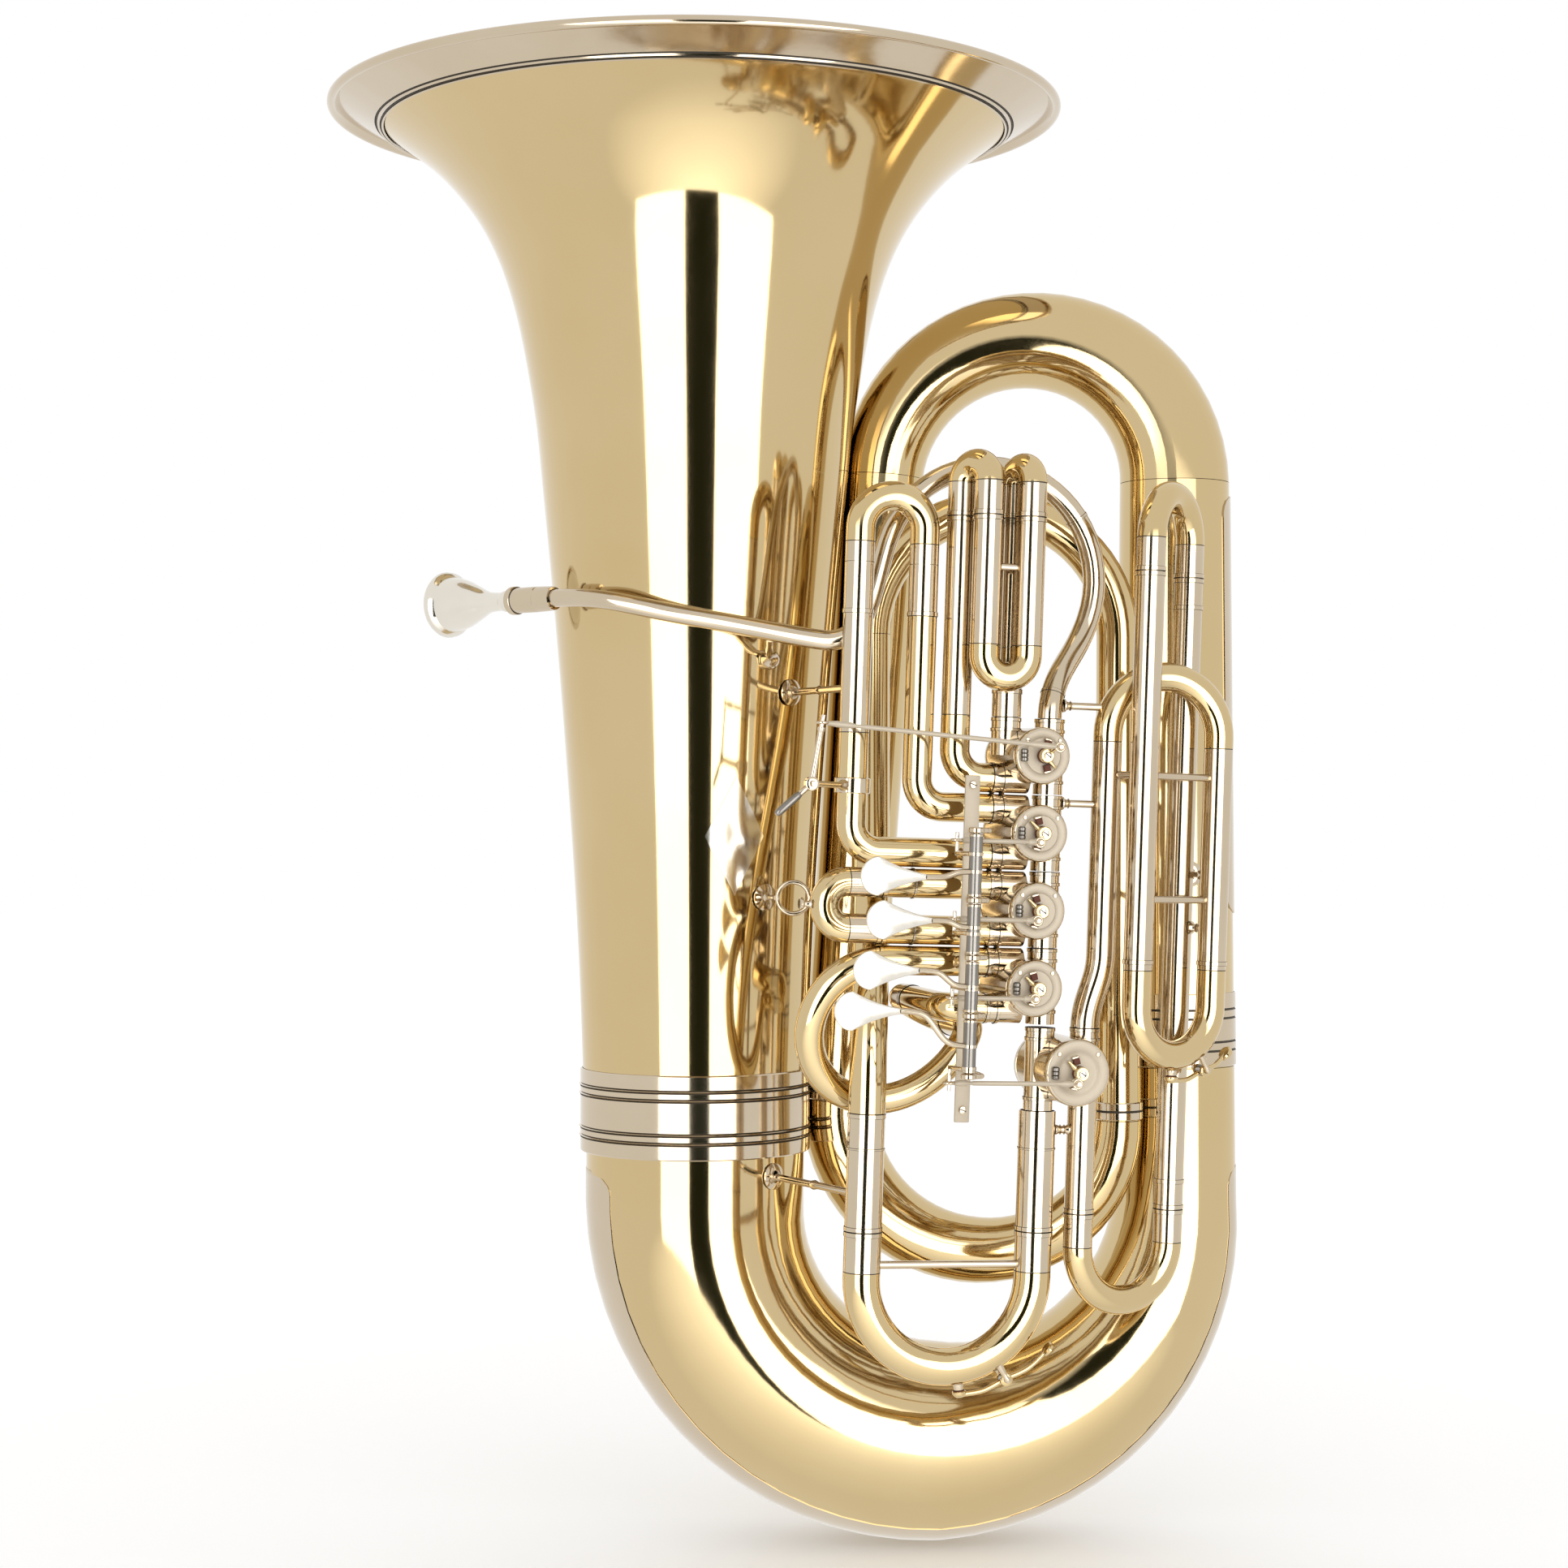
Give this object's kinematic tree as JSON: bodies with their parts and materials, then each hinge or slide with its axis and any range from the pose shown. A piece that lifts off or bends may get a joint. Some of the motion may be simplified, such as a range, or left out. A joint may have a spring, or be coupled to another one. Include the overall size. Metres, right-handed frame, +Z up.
{
  "type": "rotary valve tuba",
  "caption": "Concert tuba, bell up, in lacquered brass and nickel silver, with rotary valves, finger levers, rod linkage, thumb lever, pull slides, leadpipe and mouthpiece",
  "frame": {"origin": "lowest point of the bottom bow, on its guard strip, with the bell up", "axes": "+Z up along the bell axis; -Y towards the valve levers; the bell is at -X and the outer branch at +X"},
  "size_m": [0.6321, 0.5064, 0.9959],
  "materials": {
    "lacquered_brass": "polished yellow brass under clear lacquer",
    "nickel_silver": "polished nickel silver"
  },
  "bodies": {
    "horn": {"valve_casing_1": "nickel_silver", "valve_casing_2": "nickel_silver", "valve_casing_3": "nickel_silver", "valve_casing_4": "nickel_silver", "valve_casing_5": "nickel_silver", "lever_rail": "nickel_silver", "lever_hinge_rod": "nickel_silver", "thumb_lever_bracket": "nickel_silver", "first_loop_left": "nickel_silver", "first_loop_right": "nickel_silver", "third_loop": "nickel_silver", "fourth_loop_outer": "nickel_silver", "fourth_loop_inner": "nickel_silver", "fifth_loop_left": "nickel_silver", "fifth_loop_middle": "nickel_silver", "fifth_loop_right": "nickel_silver", "tuning_slide_tube_left": "nickel_silver", "tuning_slide_tube_right": "nickel_silver", "bell": "lacquered_brass", "bell_garland": "nickel_silver", "bell_ferrule": "nickel_silver", "bottom_bow": "lacquered_brass", "bow_guard": "nickel_silver", "outer_branch": "lacquered_brass", "top_bow": "lacquered_brass", "inner_branch": "lacquered_brass", "second_bottom_bow": "lacquered_brass", "second_top_bow": "lacquered_brass", "tuning_branch": "lacquered_brass", "leadpipe": "nickel_silver", "mouthpiece_receiver": "nickel_silver", "thumb_ring": "nickel_silver", "bell_plate": "nickel_silver"},
    "rotor_1": {"rotor_1": "lacquered_brass"},
    "linkage_rod_1": {"linkage_rod_1": "nickel_silver"},
    "rotor_2": {"rotor_2": "lacquered_brass"},
    "linkage_rod_2": {"linkage_rod_2": "nickel_silver"},
    "rotor_3": {"rotor_3": "lacquered_brass"},
    "linkage_rod_3": {"linkage_rod_3": "nickel_silver"},
    "rotor_4": {"rotor_4": "lacquered_brass"},
    "linkage_rod_4": {"linkage_rod_4": "nickel_silver"},
    "rotor_5": {"rotor_5": "lacquered_brass"},
    "linkage_rod_5": {"linkage_rod_5": "nickel_silver"},
    "finger_lever_1": {"finger_lever_1": "nickel_silver"},
    "finger_lever_2": {"finger_lever_2": "nickel_silver"},
    "finger_lever_3": {"finger_lever_3": "nickel_silver"},
    "finger_lever_4": {"finger_lever_4": "nickel_silver"},
    "thumb_lever": {"thumb_lever": "nickel_silver"},
    "mouthpiece": {"mouthpiece": "nickel_silver"},
    "main_tuning_slide": {"main_tuning_slide": "lacquered_brass"},
    "first_slide": {"first_slide": "lacquered_brass"},
    "second_slide": {"second_slide": "lacquered_brass"},
    "third_slide": {"third_slide": "lacquered_brass"},
    "fourth_slide_upper": {"fourth_slide_upper": "lacquered_brass"},
    "fourth_slide_lower": {"fourth_slide_lower": "lacquered_brass"},
    "fifth_slide_left": {"fifth_slide_left": "lacquered_brass"},
    "fifth_slide_right": {"fifth_slide_right": "lacquered_brass"},
    "water_key_main": {"water_key_main": "lacquered_brass"},
    "water_key_fourth": {"water_key_fourth": "lacquered_brass"}
  },
  "joints": [
    {"name": "finger_lever_1_hinge", "type": "hinge", "parent": "horn", "child": "finger_lever_1", "pos_m": [0.01436, -0.21353, 0.47421], "axis": [0.0332, 0, 0.9995], "range_deg": [-30, 0], "stiffness_Nm_per_rad": 0.25, "springref_deg": 20.05},
    {"name": "finger_lever_2_hinge", "type": "hinge", "parent": "horn", "child": "finger_lever_2", "pos_m": [0.01303, -0.21353, 0.43424], "axis": [0.0332, 0, 0.9995], "range_deg": [-30, 0], "stiffness_Nm_per_rad": 0.25, "springref_deg": 20.05},
    {"name": "finger_lever_3_hinge", "type": "hinge", "parent": "horn", "child": "finger_lever_3", "pos_m": [0.01183, -0.21353, 0.39801], "axis": [0.0332, 0, 0.9995], "range_deg": [-30, 0], "stiffness_Nm_per_rad": 0.25, "springref_deg": 20.05},
    {"name": "finger_lever_4_hinge", "type": "hinge", "parent": "horn", "child": "finger_lever_4", "pos_m": [0.0106, -0.21353, 0.36078], "axis": [0.0332, 0, 0.9995], "range_deg": [-30, 0], "stiffness_Nm_per_rad": 0.25, "springref_deg": 20.05},
    {"name": "thumb_lever_hinge", "type": "hinge", "parent": "horn", "child": "thumb_lever", "pos_m": [-0.08847, -0.21928, 0.52545], "axis": [0.2587, -0.9659, -0.0086], "range_deg": [0, 16.77], "stiffness_Nm_per_rad": 0.4, "springref_deg": -20.05},
    {"name": "rotor_1_spin", "type": "hinge", "parent": "horn", "child": "rotor_1", "pos_m": [0.0513, -0.1325, 0.494], "axis": [0.2587, -0.9659, -0.0086], "range_deg": [0, 90]},
    {"name": "linkage_rod_1_pivot", "type": "hinge", "parent": "rotor_1", "child": "linkage_rod_1", "pos_m": [0.05791, -0.17975, 0.48812], "axis": [0.2587, -0.9659, -0.0086], "range_deg": [-90, 0]},
    {"name": "rotor_2_spin", "type": "hinge", "parent": "horn", "child": "rotor_2", "pos_m": [0.04964, -0.1325, 0.44403], "axis": [0.2587, -0.9659, -0.0086], "range_deg": [0, 90]},
    {"name": "linkage_rod_2_pivot", "type": "hinge", "parent": "rotor_2", "child": "linkage_rod_2", "pos_m": [0.05625, -0.17975, 0.43815], "axis": [0.2587, -0.9659, -0.0086], "range_deg": [-90, 0]},
    {"name": "rotor_3_spin", "type": "hinge", "parent": "horn", "child": "rotor_3", "pos_m": [0.04798, -0.1325, 0.39405], "axis": [0.2587, -0.9659, -0.0086], "range_deg": [0, 90]},
    {"name": "linkage_rod_3_pivot", "type": "hinge", "parent": "rotor_3", "child": "linkage_rod_3", "pos_m": [0.0546, -0.17975, 0.38818], "axis": [0.2587, -0.9659, -0.0086], "range_deg": [-90, 0]},
    {"name": "rotor_4_spin", "type": "hinge", "parent": "horn", "child": "rotor_4", "pos_m": [0.07612, -0.12448, 0.33909], "axis": [0.2587, -0.9659, -0.0086], "range_deg": [0, 90]},
    {"name": "linkage_rod_4_pivot", "type": "hinge", "parent": "rotor_4", "child": "linkage_rod_4", "pos_m": [0.08273, -0.17173, 0.33321], "axis": [0.2587, -0.9659, -0.0086], "range_deg": [-90, 0]},
    {"name": "rotor_5_spin", "type": "hinge", "parent": "horn", "child": "rotor_5", "pos_m": [0.05296, -0.1325, 0.54397], "axis": [0.2587, -0.9659, -0.0086], "range_deg": [0, 90]},
    {"name": "linkage_rod_5_pivot", "type": "hinge", "parent": "rotor_5", "child": "linkage_rod_5", "pos_m": [0.07087, -0.17682, 0.54904], "axis": [0.2587, -0.9659, -0.0086], "range_deg": [-90, 0]},
    {"name": "main_tuning_slide_pull", "type": "slide", "parent": "horn", "child": "main_tuning_slide", "axis": [-0.0332, 0, -0.9995], "range_m": [0, 0.055]},
    {"name": "first_slide_pull", "type": "slide", "parent": "horn", "child": "first_slide", "axis": [0.0332, 0, 0.9995], "range_m": [0, 0.05]},
    {"name": "second_slide_pull", "type": "slide", "parent": "horn", "child": "second_slide", "axis": [-0.9654, -0.2588, 0.032], "range_m": [0, 0.045]},
    {"name": "third_slide_pull", "type": "slide", "parent": "horn", "child": "third_slide", "axis": [-0.2587, 0.9659, 0.0086], "range_m": [0, 0.018]},
    {"name": "fourth_slide_upper_pull", "type": "slide", "parent": "horn", "child": "fourth_slide_upper", "axis": [0.0332, 0, 0.9995], "range_m": [0, 0.05]},
    {"name": "fourth_slide_lower_pull", "type": "slide", "parent": "horn", "child": "fourth_slide_lower", "axis": [-0.0332, 0, -0.9995], "range_m": [0, 0.05]},
    {"name": "fifth_slide_left_pull", "type": "slide", "parent": "horn", "child": "fifth_slide_left", "axis": [0.0332, 0, 0.9995], "range_m": [0, 0.05]},
    {"name": "fifth_slide_right_pull", "type": "slide", "parent": "horn", "child": "fifth_slide_right", "axis": [0.0332, 0, 0.9995], "range_m": [0, 0.05]},
    {"name": "mouthpiece_pull", "type": "slide", "parent": "horn", "child": "mouthpiece", "axis": [-0.7547, 0.6561, 0], "range_m": [0, 0.02]},
    {"name": "water_key_main_hinge", "type": "hinge", "parent": "main_tuning_slide", "child": "water_key_main", "pos_m": [0.03852, -0.13275, 0.13696], "axis": [0.2587, -0.9659, -0.0086], "range_deg": [0, 12], "stiffness_Nm_per_rad": 0.3, "springref_deg": -20.05},
    {"name": "water_key_fourth_hinge", "type": "hinge", "parent": "horn", "child": "water_key_fourth", "pos_m": [0.17175, -0.10071, 0.33589], "axis": [0.5597, -0.8285, -0.0186], "range_deg": [0, 12], "stiffness_Nm_per_rad": 0.3, "springref_deg": -20.05}
  ],
  "couplings": [
    {"joint": "rotor_1_spin", "follows": "finger_lever_1_hinge", "ratio": -3},
    {"joint": "linkage_rod_1_pivot", "follows": "finger_lever_1_hinge", "ratio": 3},
    {"joint": "rotor_2_spin", "follows": "finger_lever_2_hinge", "ratio": -3},
    {"joint": "linkage_rod_2_pivot", "follows": "finger_lever_2_hinge", "ratio": 3},
    {"joint": "rotor_3_spin", "follows": "finger_lever_3_hinge", "ratio": -3},
    {"joint": "linkage_rod_3_pivot", "follows": "finger_lever_3_hinge", "ratio": 3},
    {"joint": "rotor_4_spin", "follows": "finger_lever_4_hinge", "ratio": -3},
    {"joint": "linkage_rod_4_pivot", "follows": "finger_lever_4_hinge", "ratio": 3},
    {"joint": "rotor_5_spin", "follows": "thumb_lever_hinge", "ratio": 5.3678},
    {"joint": "linkage_rod_5_pivot", "follows": "thumb_lever_hinge", "ratio": -5.3678}
  ]
}
